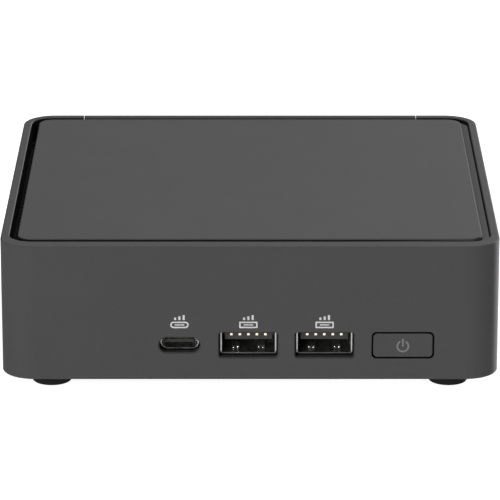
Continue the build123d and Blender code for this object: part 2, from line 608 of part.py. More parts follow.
def fan_cover():
    """Sheet lid of the blower with its round inlet."""
    plate = extrude(Pos(0, 0, FAN_Z1 - 0.6) * fan_outline(0.0), 0.6)
    return plate - rod(FAN_X, FAN_Y, FAN_Z1 - 2, FAN_Z1 + 1, 20.0)


def fan_screws():
    top = FAN_Z0 + LUG_T
    return group(merged([rod(x, y, top, top + 1.4, 2.1), rod(x, y, BOARD_BOTTOM, top, 1.1)])
                 for x, y in FAN_LUGS)


ROTOR_Z0, ROTOR_Z1 = FAN_Z0 + 2.0, FAN_Z1 - 1.4
BEARING_R, SHAFT_R = 2.5, 1.0


def fan_bearing():
    """Sintered sleeve that holds the rotor's shaft."""
    sleeve = rod(FAN_X, FAN_Y, FAN_Z0 + 1.2, FAN_Z0 + 10.5, BEARING_R)
    return sleeve - rod(FAN_X, FAN_Y, FAN_Z0 + 1.6, FAN_Z0 + 12, SHAFT_R + 0.03)


def fan_stator():
    """Laminated core with four wound arms, around the bearing."""
    z0, z1 = FAN_Z0 + 4.6, FAN_Z0 + 9.4
    core = rod(FAN_X, FAN_Y, z0, z1, 4.0)
    for i in range(4):
        turn = Pos(FAN_X, FAN_Y, 0) * Rot(0, 0, 45 + 90 * i)
        core += turn * block(3.0, 7.2, -1.2, 1.2, z0 + 1.2, z1 - 1.2)
        core += turn * block(3.9, 6.4, -2.3, 2.3, z0 + 0.2, z1 - 0.2)
    for i in range(4):
        turn = Pos(FAN_X, FAN_Y, 0) * Rot(0, 0, 45 + 90 * i)
        core += turn * block(6.9, 7.8, -2.6, 2.6, z0 + 1.2, z1 - 1.2)
    return core - rod(FAN_X, FAN_Y, z0 - 1, z1 + 1, BEARING_R)


def fan_rotor():
    """Impeller: a cup-shaped hub with curved blades tied by a ring."""
    hub = rod(FAN_X, FAN_Y, ROTOR_Z0 + 1.0, ROTOR_Z1, 11.0)
    hub -= rod(FAN_X, FAN_Y, ROTOR_Z0, ROTOR_Z1 - 1.2, 10.0)
    hub = fillet(hub.edges().group_by(Axis.Z)[-1], 0.8)
    blade_t, count = 0.7, 31
    ring = rod(FAN_X, FAN_Y, ROTOR_Z0 + 1.0, ROTOR_Z0 + 1.8, 28.0) - rod(FAN_X, FAN_Y, ROTOR_Z0,
                                                                         ROTOR_Z1, 10.5)
    arc = ThreePointArc((10.6, 0), (19.6, 2.4), (26.8, 8.4))
    outline = trace(arc, blade_t)
    blade = extrude(Pos(0, 0, ROTOR_Z0 + 1.4) * outline, ROTOR_Z1 - 0.6 - ROTOR_Z0 - 1.4)
    blades = [Pos(FAN_X, FAN_Y, 0) * Rot(0, 0, i * 360 / count) * blade for i in range(count)]
    return merged([hub, ring, *blades])


def fan_shaft():
    return rod(FAN_X, FAN_Y, FAN_Z0 + 1.7, ROTOR_Z1 - 1.2, SHAFT_R)


def fan_magnet():
    """Ring magnet pressed into the hub."""
    return rod(FAN_X, FAN_Y, FAN_Z0 + 4.2, FAN_Z0 + 9.8, 9.95) - rod(FAN_X, FAN_Y, FAN_Z0, FAN_Z1, 8.6)


FAN_PLUG_X, FAN_PLUG_Y = 20.0, -36.5


def fan_connector():
    """Board header for the fan's lead."""
    body = block(FAN_PLUG_X - 3.5, FAN_PLUG_X + 3.5, FAN_PLUG_Y - 2.2, FAN_PLUG_Y + 2.2, BOARD_TOP,
                 BOARD_TOP + 3.4)
    return body - rod_y(FAN_PLUG_X, BOARD_TOP + 1.9, FAN_PLUG_Y + 0.5, FAN_PLUG_Y + 3, 0.85)


def fan_cable():
    """Short lead from the blower's wall to its header."""
    z = BOARD_TOP + 1.9
    start = FAN_X + FAN_R - 2.9
    points = [(start, -22.0, z), (13.0, -22.0, z), (16.0, -28.5, z), (FAN_PLUG_X, -31.0, z),
              (FAN_PLUG_X, FAN_PLUG_Y + 0.5, z)]
    return wire_tube(points, 1.6, 1.4)


# ================================================================= memory, drive and radio
MEMORY_ROWS = {"upper": (12.4, 21.5), "lower": (8.4, 29.0)}     # underside and connector edge of each module


def memory_socket(row):
    """Edge connector with its two retaining arms, under the board."""
    z, edge = MEMORY_ROWS[row]
    x0, x1 = MEMORY_X - MODULE_L / 2 - 2.2, MEMORY_X + MODULE_L / 2 + 2.2
    body = block(x0, x1, edge - 2.5, edge + 4.5, z - 1.2, BOARD_BOTTOM)
    body -= block(x0 + 1.9, x1 - 1.9, edge - 3, edge + 0.1, z - 0.1, z + MODULE_T + 0.1)
    for xa, xb in ((x0, x0 + 1.8), (x1 - 1.8, x1)):
        body += block(xa, xb, edge - 20.0, edge - 2.4, z - 0.6, z + MODULE_T + 0.6)
    if row == "lower":
        # the taller socket's wall stands behind the first one
        body -= block(x0 - 1, x1 + 1, edge - 3, edge - 2.0, z + MODULE_T + 0.9, BOARD_BOTTOM + 1)
    return body


def memory_module(row):
    """Bare card of one module, notched at its arms."""
    z, edge = MEMORY_ROWS[row]
    card = slab(MEMORY_X - MODULE_L / 2, MEMORY_X + MODULE_L / 2, edge - MODULE_W, edge, z,
                z + MODULE_T, 0.6)
    for sx in (-1, 1):
        card -= rod(MEMORY_X + sx * MODULE_L / 2, edge - 18.0, z - 1, z + 2, 1.5)
    return card - block(MEMORY_X + 6.0, MEMORY_X + 8.0, edge - 3.5, edge + 1, z - 1, z + 3)


def memory_chips():
    """Eight memory packages on the outward face of each module."""
    chips = []
    for z, edge in MEMORY_ROWS.values():
        for row_y in (edge - 11.5, edge - 23.0):
            for i in range(4):
                x = MEMORY_X + (i - 1.5) * 16.0
                chips.append(block(x - 5.6, x + 5.6, row_y - 4.2, row_y + 4.2, z - 1.0, z))
    return group(chips)


def ssd_socket():
    """Edge connector of the drive."""
    body = block(SSD_X0 - 4.5, SSD_X0 + 3.0, SSD_Y - 11.2, SSD_Y + 11.2, SSD_Z0 - 0.9, BOARD_BOTTOM)
    return body - block(SSD_X0 - 0.1, SSD_X0 + 4, SSD_Y - 10.2, SSD_Y + 10.2, SSD_Z0 - 0.05, SSD_Z0 + 0.85)


def ssd_module():
    """Card of the drive, with the half-round notch for its screw."""
    half = SSD_W / 2
    card = slab(SSD_X0 + 3.4, SSD_X0 + SSD_L, SSD_Y - half, SSD_Y + half, SSD_Z0, SSD_Z0 + 0.8, 0.5)
    card += block(SSD_X0, SSD_X0 + 5.0, SSD_Y - 9.9, SSD_Y + 9.9, SSD_Z0, SSD_Z0 + 0.8)
    return card - rod(SSD_POST_X, SSD_Y, SSD_Z0 - 1, SSD_Z0 + 2, 1.75)


def ssd_chips():
    """Controller, cache and two storage packages on the drive."""
    rows = [(-30, 12, 12), (-16, 9, 11), (2, 16, 15), (22, 16, 15)]
    return group(block(x - w / 2, x + w / 2, SSD_Y - d / 2, SSD_Y + d / 2, SSD_Z0 - 1.3, SSD_Z0)
                 for x, w, d in rows)


def ssd_standoff():
    post = rod(SSD_POST_X, SSD_Y, SSD_Z0 + 0.8, BOARD_BOTTOM, 2.75)
    return post - rod(SSD_POST_X, SSD_Y, SSD_Z0, SSD_Z0 + 3.2, 0.85)


def ssd_screw():
    """Small pan-head screw that holds the drive's end."""
    head = rod(SSD_POST_X, SSD_Y, SSD_Z0 - 1.1, SSD_Z0, 2.4)
    return merged([head, rod(SSD_POST_X, SSD_Y, SSD_Z0, SSD_Z0 + 2.8, 0.8)])


RADIO_X, RADIO_Y = 45.5, 8.0


def radio_module():
    """Shielded wireless module under the board, with two aerial sockets."""
    can = slab(RADIO_X - 6, RADIO_X + 6, RADIO_Y - 8, RADIO_Y + 8, BOARD_BOTTOM - 1.8, BOARD_BOTTOM, 0.5)
    sockets = [rod(RADIO_X + 3.0, RADIO_Y + dy, BOARD_BOTTOM - 2.4, BOARD_BOTTOM - 1.8, 1.0)
               for dy in (-5.0, 5.0)]
    return merged([can, *sockets])


AERIAL_Z0, AERIAL_Z1 = 20.0, 29.8


def aerial_front():
    """Foil aerial on the inside of the front wall."""
    return block(8.0, 36.0, FRONT_IN, FRONT_IN + 0.35, AERIAL_Z0, AERIAL_Z1)


def aerial_side():
    """Foil aerial on the inside of the right wall, behind the grille."""
    return block(SIDE_IN - 0.35, SIDE_IN, 33.0, 47.4, AERIAL_Z0, AERIAL_Z1)


CABLE_D = 1.1
CABLE_LANE_X = 54.9                  # between the board's edge and the side wall


def aerial_cable(to_front):
    """Thin coaxial lead from the radio up past the board's edge to one aerial."""
    way = -1 if to_front else 1
    y, z = RADIO_Y + way * 5.0, BOARD_BOTTOM - 2.95
    start = [(RADIO_X + 3.0, y, z), (CABLE_LANE_X - 1.0, y, z), (CABLE_LANE_X, y + way * 4.0, z + 1.0)]
    if to_front:
        points = start + [(CABLE_LANE_X, -12.0, 19.0), (CABLE_LANE_X, -28.0, 23.0),
                          (CABLE_LANE_X - 0.8, -42.0, 25.0),
                          (52.0, -50.0, 25.0), (46.0, FRONT_IN + 1.0, 25.0), (36.3, FRONT_IN + 0.6, 25.0)]
    else:
        points = start + [(CABLE_LANE_X, 22.0, 18.0), (CABLE_LANE_X + 0.4, 28.0, 23.0),
                          (SIDE_IN - 0.6, 32.0, 25.0)]
    return wire_tube(points, CABLE_D, [1.6] + [2.6] * (len(points) - 3))


# ================================================================= bottom cover
TONGUE_XS = (-34.0, 0.0, 34.0)
LATCH_WINDOW = (-9.0, 9.0, 38.0, 48.8)


def bottom_cover():
    """Plate that closes the case, with tongues in front, vents, rails for its latch and two bosses."""
    x, front, rear = SIDE_IN - COVER_GAP, FRONT_IN + COVER_GAP, REAR_IN - COVER_GAP
    plate = slab(-x, x, front, rear, STANDOFF, COVER_TOP, CORNER_R - WALL - COVER_GAP)
    front_edge = plate.faces().sort_by(Axis.Z)[0].edges().sort_by(Axis.Y)[0]
    plate = fillet(front_edge, 1.2)
    for tx in TONGUE_XS:
        plate += block(tx - 5.0, tx + 5.0, FRONT_IN + 0.35, FRONT_IN + 3.0, COVER_TOP - 0.6, TONGUE_Z + 0.4)
        plate += block(tx - 5.0, tx + 5.0, FRONT_IN - 1.0, FRONT_IN + 0.6, TONGUE_Z - 0.4, TONGUE_Z + 0.4)
    for sx in (-1, 1):
        for sy in (-1, 1):
            plate -= rod(sx * FOOT_X, sy * FOOT_Y, STANDOFF - 1, STANDOFF + 0.5, FOOT_R + 0.05)
        plate += rod(sx * INSERT_X, 0, COVER_TOP - 0.1, COVER_TOP + 2.4, 3.6)
        plate -= rod(sx * INSERT_X, 0, STANDOFF - 1, COVER_TOP + 3, INSERT_R)
    # vents under the memory, and the raised seat of the drive's pad
    for i in range(15):
        vx = (i - 7) * 4.6
        plate -= slab(vx - 0.9, vx + 0.9, -8.0, 8.0, STANDOFF - 1, COVER_TOP + 1, 0.89)
        plate -= slab(vx - 0.9, vx + 0.9, 12.0, 28.0, STANDOFF - 1, COVER_TOP + 1, 0.89)
    plate += slab(-34, 32, SSD_Y - 8, SSD_Y + 8, COVER_TOP - 0.1, PAD_Z0, 2.0)
    # latch window and rails
    wx0, wx1, wy0, wy1 = LATCH_WINDOW
    plate -= slab(wx0, wx1, wy0, wy1, STANDOFF - 1, COVER_TOP + 1, 1.0)
    for sx in (-1, 1):
        plate += block(*sorted((sx * 12.3, sx * 13.4)), 37.0, 51.0, COVER_TOP - 0.1, COVER_TOP + 1.9)
        plate += block(*sorted((sx * 11.2, sx * 13.4)), 37.0, 51.0, COVER_TOP + 1.35, COVER_TOP + 1.9)
    return plate


PAD_Z0, PAD_T = 9.2, 1.8


def thermal_pad():
    """Soft pad between the drive and the cover."""
    return slab(-33, 31, SSD_Y - 7.2, SSD_Y + 7.2, PAD_Z0, PAD_Z0 + PAD_T, 1.0)


def bracket_inserts():
    """Two threaded brass inserts for a bracket."""
    return group(rod(sx * INSERT_X, 0, STANDOFF, COVER_TOP + 2.4, INSERT_R)
                 - rod(sx * INSERT_X, 0, STANDOFF - 1, COVER_TOP + 3, INSERT_HOLE_R) for sx in (-1, 1))


def rubber_foot(sx, sy):
    foot = rod(sx * FOOT_X, sy * FOOT_Y, 0, STANDOFF + 0.5, FOOT_R)
    return fillet(foot.edges().sort_by(Axis.Z)[0], 0.5)


def cover_latch():
    """Slider with a ribbed thumb pad, a carrier in the cover's rails and a bolt."""
    y0 = LATCH_WINDOW[3] - 0.2 - 8.2
    pad = slab(-8.8, 8.8, y0, y0 + 8.2, STANDOFF + 0.2, COVER_TOP + 0.1, 0.9)
    for i in range(5):
        pad -= block(-6.5, 6.5, y0 + 1.3 + i * 1.3, y0 + 1.8 + i * 1.3, STANDOFF, STANDOFF + 0.55)
    carrier = block(-12.1, 12.1, y0 - 0.7, y0 + 9.8, COVER_TOP + 0.05, COVER_TOP + 1.25)
    bolt = block(-6.0, 6.0, y0 + 9.7, REAR_IN + 1.2, COVER_TOP + 0.05, COVER_TOP + 1.2)
    return merged([pad, carrier, bolt])


# ================================================================= the table of sub-parts
def parts():
    """Every sub-part by name; identical pieces share one name as separate solids."""
    base = PORT_Z - 2.85
    usb_a_places = [(x, base, PORT_FACE, 1) for x in USB_A_X] + [(STACK_X, STACK_Z0 + s, REAR_FACE, -1)
                                                                 for s in STACK_STEPS]
    usb_c_places = [(USB_C_X, PORT_Z, PORT_FACE, 1)] + [(x, PORT_Z, REAR_FACE, -1) for x in HDMI_XS]
    return {
        "outer_shell": outer_shell(),
        "top_panel": top_panel(),
        "intake_strip": intake_strip(),
        "side_grilles": group(side_grille(sx) for sx in (-1, 1)),
        "lock_plate": lock_plate(),
        "rear_panel": rear_panel(),
        "usb_c_shells": group(usb_c_shell(*place) for place in usb_c_places),
        "usb_c_tongues": group(usb_c_tongue(*place) for place in usb_c_places),
        "front_usb_a_shells": group(front_usb_a_shell(x) for x in USB_A_X),
        "usb_a_tongues": group(usb_a_tongue(*place) for place in usb_a_places),
        "usb_a_contacts": group(c for place in usb_a_places for c in usb_a_contacts(*place)),
        "rear_usb_a_stack": rear_usb_a_stack(),
        "power_button": power_button(),
        "power_symbol": power_symbol(),
        "power_switch": power_switch(),
        "switch_plunger": switch_plunger(),
        "hdmi_shells": hdmi_shells(),
        "hdmi_tongues": hdmi_tongues(),
        "ethernet_jack": ethernet_jack(),
        "ethernet_contacts": ethernet_contacts(),
        "dc_jack": dc_jack(),
        "dc_jack_pin": dc_jack_pin(),
        "mainboard": mainboard(),
        "mainboard_screws": mainboard_screws(),
        "processor": processor(),
        "power_coils": power_coils(),
        "board_chips": board_chips(),
        "battery_holder": battery_holder(),
        "coin_cell": coin_cell(),
        "cold_plate": cold_plate(),
        "heat_pipes": heat_pipes(),
        "fin_stack": fin_stack(),
        "cooler_bracket": cooler_bracket(),
        "cooler_screws": cooler_screws(),
        "fan_housing": fan_housing(),
        "fan_cover": fan_cover(),
        "fan_screws": fan_screws(),
        "fan_bearing": fan_bearing(),
        "fan_stator": fan_stator(),
        "fan_rotor": fan_rotor(),
        "fan_shaft": fan_shaft(),
        "fan_magnet": fan_magnet(),
        "fan_connector": fan_connector(),
        "fan_cable": fan_cable(),
        "memory_sockets": group(memory_socket(row) for row in MEMORY_ROWS),
        "memory_modules": group(memory_module(row) for row in MEMORY_ROWS),
        "memory_chips": memory_chips(),
        "ssd_socket": ssd_socket(),
        "ssd_module": ssd_module(),
        "ssd_chips": ssd_chips(),
        "ssd_standoff": ssd_standoff(),
        "ssd_screw": ssd_screw(),
        "radio_module": radio_module(),
        "aerials": group([aerial_front(), aerial_side()]),
        "aerial_cables": group(aerial_cable(to_front) for to_front in (True, False)),
        "bottom_cover": bottom_cover(),
        "thermal_pad": thermal_pad(),
        "bracket_inserts": bracket_inserts(),
        "rubber_feet": group(rubber_foot(sx, sy) for sx in (-1, 1) for sy in (-1, 1)),
        "cover_latch": cover_latch(),
        }


if __name__ == "__main__":
    os.makedirs("parts", exist_ok=True)
    made = parts()
    for name, shape in made.items():
        export_step(shape, f"parts/{name}.step")
    print(len(made), "sub-parts")
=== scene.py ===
"""Small desktop computer on a white studio floor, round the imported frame. Metres, front face along -Y."""
import bmesh
import bpy
import json
from math import cos, pi, radians, sin
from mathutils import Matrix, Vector
from mathutils.bvhtree import BVHTree
from random import Random


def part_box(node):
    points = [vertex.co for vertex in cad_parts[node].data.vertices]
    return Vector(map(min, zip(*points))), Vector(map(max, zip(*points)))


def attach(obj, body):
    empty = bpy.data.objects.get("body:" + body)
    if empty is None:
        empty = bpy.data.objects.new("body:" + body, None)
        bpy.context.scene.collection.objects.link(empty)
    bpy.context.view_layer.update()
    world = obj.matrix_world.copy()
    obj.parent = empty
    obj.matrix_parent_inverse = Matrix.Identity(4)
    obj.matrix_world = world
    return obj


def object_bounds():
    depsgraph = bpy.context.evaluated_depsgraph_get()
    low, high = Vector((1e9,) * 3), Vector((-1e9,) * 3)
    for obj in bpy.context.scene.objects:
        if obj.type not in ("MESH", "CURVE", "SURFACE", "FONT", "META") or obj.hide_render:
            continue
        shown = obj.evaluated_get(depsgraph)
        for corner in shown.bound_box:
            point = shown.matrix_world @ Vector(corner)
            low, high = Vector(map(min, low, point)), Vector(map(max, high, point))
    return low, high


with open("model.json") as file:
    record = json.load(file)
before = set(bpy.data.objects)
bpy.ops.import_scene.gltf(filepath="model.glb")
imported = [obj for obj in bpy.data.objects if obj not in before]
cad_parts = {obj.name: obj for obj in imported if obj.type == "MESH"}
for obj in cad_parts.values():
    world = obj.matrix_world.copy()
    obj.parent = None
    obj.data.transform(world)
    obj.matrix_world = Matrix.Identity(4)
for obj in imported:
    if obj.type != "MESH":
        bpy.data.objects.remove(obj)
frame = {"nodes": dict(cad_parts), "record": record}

cad_low, cad_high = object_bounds()
NODES = frame["nodes"]
MM = 0.001

# ---------------------------------------------------------------- camera
CAMERA_AT = (0.0, -0.87883, 0.30254)
CAMERA_PITCH = 17.933
CAMERA_LENS = 268.11
SENSOR_WIDTH = 36.0
CLIP_START = 0.01

camera = bpy.data.objects.new("camera", bpy.data.cameras.new("camera"))
camera.location = CAMERA_AT
camera.rotation_euler = (radians(90 - CAMERA_PITCH), 0, 0)
camera.data.lens = CAMERA_LENS
camera.data.sensor_width = SENSOR_WIDTH
camera.data.clip_start = CLIP_START
bpy.context.scene.collection.objects.link(camera)
bpy.context.scene.camera = camera


# ---------------------------------------------------------------- materials
class Shader:
    """A Principled material and short ways to add nodes to it."""

    def __init__(self, name, colour, roughness, metallic=0.0, specular=0.5):
        self.material = bpy.data.materials.new(name)
        self.material.use_nodes = True
        self.tree = self.material.node_tree
        self.bsdf = self.tree.nodes["Principled BSDF"]
        self.bsdf.inputs["Base Color"].default_value = (*colour, 1)
        self.bsdf.inputs["Roughness"].default_value = roughness
        self.bsdf.inputs["Metallic"].default_value = metallic
        self.bsdf.inputs["Specular IOR Level"].default_value = specular
        self.material.diffuse_color = (*colour, 1)
        self.place = self.node("ShaderNodeTexCoord").outputs["Object"]
        self.normal = None

    def node(self, kind, inputs=None, **settings):
        made = self.tree.nodes.new(kind)
        for key, value in settings.items():
            setattr(made, key, value)
        for key, value in (inputs or {}).items():
            if isinstance(value, bpy.types.NodeSocket):
                self.tree.links.new(value, made.inputs[key])
            else:
                made.inputs[key].default_value = value
        return made

    def stretched(self, scale):
        """Object coordinates scaled per axis, for grain that runs one way."""
        return self.node("ShaderNodeMapping", {"Vector": self.place, "Scale": scale}).outputs["Vector"]

    def noise(self, scale, detail=3.0, rough=0.55, vector=None):
        inputs = {"Vector": vector or self.place, "Scale": scale, "Detail": detail, "Roughness": rough}
        return self.node("ShaderNodeTexNoise", inputs).outputs["Fac"]

    def cells(self, scale):
        return self.node("ShaderNodeTexVoronoi", {"Vector": self.place, "Scale": scale})

    def ranged(self, value, low, high, to_low=0.0, to_high=1.0):
        inputs = {"Value": value, "From Min": low, "From Max": high, "To Min": to_low, "To Max": to_high}
        return self.node("ShaderNodeMapRange", inputs).outputs["Result"]

    def mixed(self, factor, a, b):
        mix = self.node("ShaderNodeMix", data_type="RGBA")
        for socket, value in ((mix.inputs[6], a), (mix.inputs[7], b)):
            if isinstance(value, bpy.types.NodeSocket):
                self.tree.links.new(value, socket)
            else:
                socket.default_value = (*value, 1)
        self.tree.links.new(factor, mix.inputs[0])
        return mix.outputs[2]

    def bump(self, height, depth):
        inputs = {"Height": height, "Distance": depth, "Strength": 1.0}
        if self.normal:
            inputs["Normal"] = self.normal
        self.normal = self.node("ShaderNodeBump", inputs).outputs["Normal"]
        self.tree.links.new(self.normal, self.bsdf.inputs["Normal"])

    def colour_by(self, socket):
        self.tree.links.new(socket, self.bsdf.inputs["Base Color"])

    def roughness_by(self, socket):
        self.tree.links.new(socket, self.bsdf.inputs["Roughness"])


def tint(colour, factor):
    return tuple(c * factor for c in colour)


def moulded(name, colour, roughness, specular, grain=4200.0, depth=1.6e-5, patch=55.0, spread=0.12):
    """Moulded plastic: spark-eroded grain, slow variation of tone and a few handling smears."""
    s = Shader(name, colour, roughness, specular=specular)
    fine = s.noise(grain, detail=2.0)
    slow = s.noise(patch, detail=4.0)
    tone = s.mixed(s.ranged(slow, 0.3, 0.7), tint(colour, 1 - spread), tint(colour, 1 + spread))
    speck = s.mixed(s.ranged(fine, 0.35, 0.7, 0.0, 0.35), tone, tint(colour, 1.5))
    s.colour_by(speck)
    smear = s.noise(22.0, detail=5.0, vector=s.stretched((1.0, 0.35, 1.0)))
    s.roughness_by(s.ranged(smear, 0.3, 0.75, roughness + 0.04, roughness - 0.07))
    s.bump(fine, depth)
    return s.material


def sheet_metal(name, colour, roughness, direction, grain=2600.0, depth=2.5e-6):
    """Rolled or brushed metal with fine lines along one axis and stains that dull it."""
    s = Shader(name, colour, roughness, metallic=1.0)
    lines = s.noise(grain, detail=3.0, vector=s.stretched(direction))
    stain = s.noise(180.0, detail=4.0)
    s.colour_by(s.mixed(s.ranged(stain, 0.35, 0.7), tint(colour, 0.86), tint(colour, 1.06)))
    s.roughness_by(s.ranged(s.noise(700.0, detail=2.0), 0.3, 0.7, roughness - 0.05, roughness + 0.1))
    s.bump(lines, depth)
    return s.material


def turned_metal(name, colour, roughness):
    """Cast, pressed or turned metal with a pebbly skin."""
    s = Shader(name, colour, roughness, metallic=1.0)
    skin = s.noise(1800.0, detail=3.0)
    s.colour_by(s.mixed(s.ranged(s.noise(240.0), 0.3, 0.7), tint(colour, 0.8), tint(colour, 1.1)))
    s.roughness_by(s.ranged(skin, 0.3, 0.7, roughness - 0.06, roughness + 0.08))
    s.bump(skin, 4e-6)
    return s.material


def soft(name, colour, roughness, specular, grain=2400.0, depth=1.4e-5):
    """Rubber, silicone or jacket: fine open skin with dust in it."""
    s = Shader(name, colour, roughness, specular=specular)
    skin = s.noise(grain, detail=4.0)
    dust = s.noise(300.0, detail=6.0, rough=0.7)
    s.colour_by(s.mixed(s.ranged(dust, 0.55, 0.8, 0.0, 0.5), colour, tint(colour, 2.2)))
    s.roughness_by(s.ranged(skin, 0.3, 0.7, roughness - 0.05, roughness + 0.05))
    s.bump(skin, depth)
    return s.material


def laminate(name, colour):
    """Solder mask over copper tracks, with bright pads and vias."""
    s = Shader(name, colour, 0.38, specular=0.5)
    tracks = s.node("ShaderNodeTexBrick", {
        "Vector": s.place, "Scale": 260.0, "Mortar Size": 0.012, "Color1": (1, 1, 1, 1),
        "Color2": (0.7, 0.7, 0.7, 1), "Mortar": (0, 0, 0, 1), "Brick Width": 1.7, "Row Height": 0.35},
        offset=0.37, squash=1.4)
    copper_under = s.mixed(tracks.outputs["Fac"], colour, tint(colour, 2.6))
    vias = s.cells(420.0).outputs["Distance"]
    dots = s.ranged(vias, 0.09, 0.13, 1.0, 0.0)
    s.colour_by(s.mixed(dots, copper_under, (0.32, 0.30, 0.22)))
    s.bump(tracks.outputs["Fac"], 1.8e-5)
    s.bump(dots, 1.0e-5)
    return s.material


def epoxy(name, colour):
    """Matte chip body with a faint swirl of moulding compound."""
    s = Shader(name, colour, 0.55, specular=0.4)
    swirl = s.noise(900.0, detail=5.0)
    s.colour_by(s.mixed(s.ranged(swirl, 0.35, 0.65), tint(colour, 0.8), tint(colour, 1.5)))
    s.bump(s.noise(5200.0, detail=2.0), 8e-6)
    return s.material


CASE = (0.0375, 0.0375, 0.038)
FINISHES = {
    "case_plastic": moulded("case_plastic", CASE, 0.74, 0.1, spread=0.035),
    "panel_plastic": moulded("panel_plastic", CASE, 0.72, 0.12, spread=0.035),
    "grille_plastic": moulded("grille_plastic", (0.016, 0.016, 0.0165), 0.5, 0.3),
    "rotor_plastic": moulded("rotor_plastic", (0.016, 0.016, 0.017), 0.38, 0.5, grain=2600.0, depth=6e-6),
    "insulator": moulded("insulator", (0.017, 0.017, 0.015), 0.5, 0.3, grain=3800.0, depth=6e-6),
    "symbol_grey": moulded("symbol_grey", (0.088, 0.088, 0.088), 0.45, 0.4, grain=5200.0, depth=5e-6),
    "port_steel": sheet_metal("port_steel", (0.44, 0.44, 0.43), 0.3, (1.0, 0.06, 1.0)),
    "bracket_steel": sheet_metal("bracket_steel", (0.42, 0.42, 0.43), 0.36, (0.05, 1.0, 1.0)),
    "screw_steel": turned_metal("screw_steel", (0.13, 0.13, 0.135), 0.34),
    "contact_gold": sheet_metal("contact_gold", (0.95, 0.89, 0.72), 0.3, (1.0, 0.1, 1.0)),
    "bearing_bronze": turned_metal("bearing_bronze", (0.72, 0.53, 0.26), 0.32),
    "copper": sheet_metal("copper", (0.80, 0.42, 0.27), 0.3, (0.2, 0.2, 1.0)),
    "fin_aluminium": sheet_metal("fin_aluminium", (0.78, 0.79, 0.80), 0.3, (1.0, 0.08, 1.0)),
    "board_laminate": laminate("board_laminate", (0.008, 0.022, 0.015)),
    "chip_epoxy": epoxy("chip_epoxy", (0.014, 0.014, 0.015)),
    "ferrite": epoxy("ferrite", (0.06, 0.06, 0.062)),
    "cable_jacket": soft("cable_jacket", (0.014, 0.014, 0.014), 0.42, 0.45, depth=4e-6),
    "pad_silicone": soft("pad_silicone", (0.26, 0.31, 0.39), 0.7, 0.3),
    "foot_rubber": soft("foot_rubber", (0.0085, 0.0085, 0.0085), 0.8, 0.08),
}

for part in frame["record"]["subparts"]:
    data = NODES[part["node"]].data
    data.materials.clear()
    data.materials.append(FINISHES[part["material_slot"]])

# Painted shade: a near-black copy of the case plastic on the port walls, the groove walls, the button's
# sides, the lid's left side and the intake strip, where shade falls.
SHADE = moulded("opening_shade", (0.0035, 0.0035, 0.0035), 0.8, 0.1, depth=4e-6)
# Painted shade: a darker copy of the case plastic on the port floors and the bevels round the openings,
# where part shade falls.
LIP_PAINTED_SHADE = moulded("opening_lip_painted_shade", (0.028, 0.028, 0.028), 0.7, 0.1, depth=6e-6)
# Painted highlight: a slightly lighter, less glossy copy of the case plastic on the top crests of the rim
# and lid.
EDGE_PAINTED_HIGHLIGHT = moulded("edge_painted_highlight", tint(CASE, 1.02), 0.8, 0.05, depth=8e-6, spread=0.06)
# Painted shade: a darker, matte copy of the case plastic on the lid's right crest, damping the highlight
# there.
CREST_PAINTED_SHADE = moulded("crest_painted_shade", tint(CASE, 0.78), 0.85, 0.03, depth=8e-6, spread=0.06)
# Painted light: a lighter copy of the case plastic on the lid's sunk ledge, which sits in shade.
LEDGE_PAINTED_LIGHT = moulded("ledge_painted_light", tint(CASE, 1.4), 0.72, 0.12, spread=0.035)
# Painted shade: darker steel on the front edges of the port shells' floors and flat sides.
STEEL_PAINTED_SHADE = sheet_metal("steel_painted_shade", (0.15, 0.15, 0.148), 0.42, (1.0, 0.06, 1.0))
SHELL_LOW, SHELL_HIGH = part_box("outer_shell")
KEY_LOW, KEY_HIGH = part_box("power_button")
BEVEL = 0.35 * MM                    # chamfer round each front opening
OPENING_DEPTH = 3.0 * MM             # depth to which an opening's walls are shaded
PORT_BAND = 1.5 * MM                 # height above and below the button that counts as the port row
CORNER_CLEAR = 20 * MM               # distance from the left side within which no port lies
RIM_WIDTH = 1.9 * MM
GROOVE_TOP, GROOVE_BOTTOM = 0.5 * MM, 6.0 * MM      # depths below the rim
LEDGE_HIGH, LEDGE_LOW = 0.6 * MM, 1.6 * MM          # depths below the rim
CREST, RIGHT_CREST = 0.45 * MM, 0.5 * MM


def refinish(node, *rules):
    """Further finishes, here painted shade and painted light, on the faces of a CAD part that pass a test,
    first match first.
    """
    part = NODES[node]
    for finish, _ in rules:
        part.data.materials.append(finish)
    for face in part.data.polygons:
        at = part.matrix_world @ face.center
        for index, (_, chosen) in enumerate(rules, 1):
            if chosen(at, face.normal):
                face.material_index = index
                break


def near_ports(at):
    return KEY_LOW.z - PORT_BAND < at.z < KEY_HIGH.z + PORT_BAND


def port_wall(at, normal):
    deep = SHELL_LOW.y + BEVEL < at.y < SHELL_LOW.y + OPENING_DEPTH
    return deep and abs(normal.y) < 0.5 and near_ports(at)


def port_floor(at, normal):
    return normal.z > 0.7 and at.x < KEY_LOW.x and port_wall(at, normal)


def port_bevel(at, normal):
    inside_x = SHELL_LOW.x + CORNER_CLEAR < at.x < KEY_LOW.x
    return at.y < SHELL_LOW.y + BEVEL and 0.3 < abs(normal.y) < 0.95 and near_ports(at) and inside_x


def groove(at, normal):
    inner = SHELL_LOW.x + RIM_WIDTH < at.x < SHELL_HIGH.x - RIM_WIDTH
    inner = inner and SHELL_LOW.y + RIM_WIDTH < at.y < SHELL_HIGH.y - RIM_WIDTH
    return inner and SHELL_HIGH.z - GROOVE_BOTTOM < at.z < SHELL_HIGH.z - GROOVE_TOP


def right_crest(at, normal):
    return at.x > 0 and normal.x > 0.25 and normal.z > 0.15 and at.z > SHELL_HIGH.z - RIGHT_CREST


def sunk_ledge(at, normal):
    return normal.z > 0.9 and SHELL_HIGH.z - LEDGE_LOW < at.z < SHELL_HIGH.z - LEDGE_HIGH


